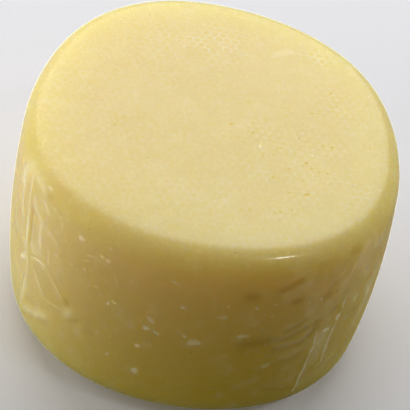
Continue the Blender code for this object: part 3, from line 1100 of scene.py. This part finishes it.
def veil_material(name, colour):
    """A thin pale layer that adds its haze to what is behind it, as dense as its veil number says."""
    shading = Shading(name)
    grain = shading.noise(shading.place(), VEIL_WAVES).step(0.25, 0.7)
    veil = shading.attribute("veil") * (0.75 + grain * 0.35)
    haze = shading.node(
        "ShaderNodeBsdfPrincipled",
        {},
        {
            "Base Color": shading.mix(veil.clamped(), BLACK, colour),
            "Roughness": 0.6,
            "Specular IOR Level": 0.0,
        },
    )
    return shading.finish(shading.add(shading.clear(CLEAR), haze))


def shade_tint_material(name, tint):
    """A clear layer that deepens the colour behind it, as much as its veil number says: painted shade."""
    shading = Shading(name)
    veil = shading.attribute("veil").clamped()
    return shading.finish(shading.blend(veil, shading.clear(CLEAR), shading.clear(tint)))


def solid_material(name, colour, other, roughness):
    """A small dense mark whose colour wanders between two."""
    shading = Shading(name)
    share = shading.noise(shading.place(), SPECK_WAVES).step(0.35, 0.65)
    shader = shading.node(
        "ShaderNodeBsdfPrincipled",
        {},
        {"Base Color": shading.mix(share, colour, other), "Roughness": roughness, "IOR": CHEESE_REFRACTION},
    )
    return shading.finish(shader)


def floor_material():
    """Plain matt white."""
    shading = Shading("floor")
    tone = shading.noise(shading.place(), FLOOR_WAVES).step(0.3, 0.7)
    colour = shading.mix(tone, FLOOR_GREY, FLOOR_WHITE)
    return shading.finish(
        shading.node("ShaderNodeBsdfPrincipled", {}, {"Base Color": colour, "Roughness": 0.9})
    )


# ---------------------------------------------------------------- pieces

def dusting_flecks():
    """Very small flecks thrown about each dusting's middle by a fixed draw."""
    draws = np.random.default_rng(11)
    flecks = []
    for angle, height, spread_round, spread_up, count in DUSTINGS:
        middle_round, middle_up = on_side(angle, height)
        around = middle_round + MILLIMETRE * spread_round * draws.normal(size=count)
        up = middle_up + MILLIMETRE * spread_up * draws.normal(size=count)
        size = MILLIMETRE * (DUST_LEAST + DUST_MORE * draws.random(count) ** 2)
        width = size * draws.uniform(*DUST_WIDTHS, count)
        turn = draws.uniform(0.0, 180.0, count)
        strength = draws.uniform(*DUST_WHITENESS, count)
        flecks.append(np.stack([around, up, size, width, turn, strength], axis=1))
    flecks = np.concatenate(flecks)
    lowest, highest = (-run_at_height(MILLIMETRE * height) for height in DUSTING_HEIGHTS)
    return flecks[(flecks[:, 1] > lowest) & (flecks[:, 1] < highest)]


def top_patches(rows, strength):
    """Rows of x, y, half length, half width and turn as patches of one strength, in metres."""
    return [(MILLIMETRE * x, MILLIMETRE * y, MILLIMETRE * length, MILLIMETRE * width, turn, strength)
            for x, y, length, width, turn in rows]


def side_patches(rows):
    """Rows of angle, height, half length, half width, turn and strength as patches, in metres."""
    return [(*on_side(angle, height), MILLIMETRE * length, MILLIMETRE * width, turn, strength)
            for angle, height, length, width, turn, strength in rows]


def crease_strips(rows):
    """Rows of a path, half width, rise and milkiness as strips, in metres."""
    return [(side_line(path), MILLIMETRE * half_width, MILLIMETRE * rise, strength)
            for path, half_width, rise, strength in rows]


cheese_marks = {
    "print": print_mark,
    "curd": curd_mark,
    "hollow": hollow_shade_mark,
    "deep": side_shade_mark,
    "rim": rim_shade_mark,
}
cheese = whole_drum(
    "cheese", cells=150, rows=96, lift=-CHEESE_UNDER_FILM, folds=0.0, material=cheese_material(),
    marks=cheese_marks,
)
film = whole_drum(
    "film", cells=124, rows=140, lift=0.0, folds=1.0, material=film_material(),
    marks={"milk": film_milk_and_highlights, "cloudy": cloudy_mark},
)

milky = veil_material("milky_film", MILK_WHITE)
creases = strip_piece("film_creases", crease_strips(CREASES), side_place, milky)
tight = smooth_film_material()
rim_creases = strip_piece("rim_creases", crease_strips(RIM_CREASES), side_place, tight)

white = veil_material("white_fleck", FLECK_WHITE)
side_flecks = patch_piece(
    "white_flecks", side_patches(FLECKS), side_place, white,
    corners=18, rings=5, rise=0.00015, clearance=0.00004, seed=3,
)
dust = patch_piece(
    "fine_flecks", dusting_flecks(), side_place, white,
    corners=7, rings=2, rise=0.00006, clearance=0.00004, seed=5,
)
pit_rows = [(x, y, PIT_LENGTH * radius, PIT_WIDTH * radius, PIT_ANGLE) for x, y, radius in PITS]
pits = patch_piece(
    "curd_pits", top_patches(pit_rows, 1.0), top_place, shade_tint_material("pit_shade_tint", PIT_SHADE_TINT),
    corners=12, rings=4, rise=0.0, clearance=0.00003, seed=7,
)
flake_rows = top_patches(FLAKES, FLAKE_STRENGTH) + top_patches(SMEARS, SMEAR_STRENGTH)
flakes = patch_piece(
    "curd_flakes", flake_rows, top_place, veil_material("pale_flake", FLAKE_PALE),
    corners=14, rings=5, rise=0.00016, clearance=0.00003, seed=9,
)
speck_brown = solid_material("speck_brown", SPECK_DARK, SPECK_LIGHT, 0.7)
top_specks = patch_piece(
    "top_specks",
    top_patches([(x, y, SPECK_RADIUS, SPECK_RADIUS, 0.0) for x, y in TOP_SPECKS], 1.0),
    top_place, speck_brown, corners=8, rings=3, rise=0.0001, clearance=0.00003, seed=13,
)
side_specks = patch_piece(
    "side_specks",
    side_patches([(angle, height, SPECK_RADIUS, SPECK_RADIUS, 0.0, 1.0) for angle, height in SIDE_SPECKS]),
    side_place, speck_brown, corners=8, rings=3, rise=0.0001, clearance=0.00003, seed=17,
)

for piece in (cheese, film, creases, rim_creases, side_flecks, dust, pits, flakes, top_specks, side_specks):
    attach(piece, "root")
    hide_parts("wrapped_cheese")


# ---------------------------------------------------------------- stage, lights and camera

def add_floor():
    """A wide plain floor that the drum stands on."""
    corners = FLOOR_REACH * np.array([[-1, -1, 0], [1, -1, 0], [1, 1, 0], [-1, 1, 0]])
    floor = mesh_piece("floor", corners, [(0, 1, 2, 3)], floor_material())
    floor.visible_diffuse = False
    floor.visible_glossy = False


def add_area(name, azimuth, elevation, distance, width, height, power, in_gloss):
    """A soft panel of light that faces the drum from an azimuth, from +X towards +Y, and an elevation."""
    light = bpy.data.lights.new(name, "AREA")
    light.shape = "RECTANGLE"
    light.size = width
    light.size_y = height
    light.energy = power
    azimuth = math.radians(azimuth)
    elevation = math.radians(elevation)
    away = Vector((
        math.cos(azimuth) * math.cos(elevation),
        math.sin(azimuth) * math.cos(elevation),
        math.sin(elevation),
    ))
    lamp = bpy.data.objects.new(name, light)
    lamp.location = distance * away + Vector((0.0, 0.0, HEIGHT / 2.0))
    lamp.rotation_euler = (-away).to_track_quat("-Z", "Y").to_euler()
    lamp.visible_glossy = in_gloss
    bpy.context.scene.collection.objects.link(lamp)


def add_world(colour, strength):
    """Even light from all round, which the gloss doesn't show."""
    world = bpy.data.worlds.new("surroundings")
    bpy.context.scene.world = world
    world.use_nodes = True
    background = world.node_tree.nodes["Background"]
    background.inputs["Color"].default_value = colour
    background.inputs["Strength"].default_value = strength
    world.cycles_visibility.glossy = False


def add_camera():
    """The camera at the photograph's angle, turned about its line of sight as the photograph is."""
    data = bpy.data.cameras.new("camera")
    data.sensor_width = SENSOR_WIDTH
    data.lens = FOCAL_PIXELS / PHOTO_SIZE * SENSOR_WIDTH
    data.shift_x = (PHOTO_SIZE / 2.0 - LOOK_POINT_PIXEL[0]) / PHOTO_SIZE
    data.shift_y = (LOOK_POINT_PIXEL[1] - PHOTO_SIZE / 2.0) / PHOTO_SIZE
    camera = bpy.data.objects.new("camera", data)
    elevation = math.radians(CAMERA_ELEVATION)
    look_point = Vector((0.0, 0.0, HEIGHT / 2.0)) - Vector(MIDDLE.tolist())
    away = Vector((0.0, -math.cos(elevation), math.sin(elevation)))
    facing = Euler((math.pi / 2.0 - elevation, 0.0, 0.0)).to_matrix().to_4x4()
    roll = Matrix.Rotation(math.radians(CAMERA_ROLL), 4, "Z")
    camera.matrix_world = Matrix.Translation(look_point + CAMERA_DISTANCE * away) @ facing @ roll
    bpy.context.scene.collection.objects.link(camera)
    bpy.context.scene.camera = camera


add_floor()
for light_values in LIGHTS:
    add_area(*light_values)
add_world(FILL_COLOUR, FILL_STRENGTH)
add_camera()
bpy.context.scene.view_settings.view_transform = "Standard"
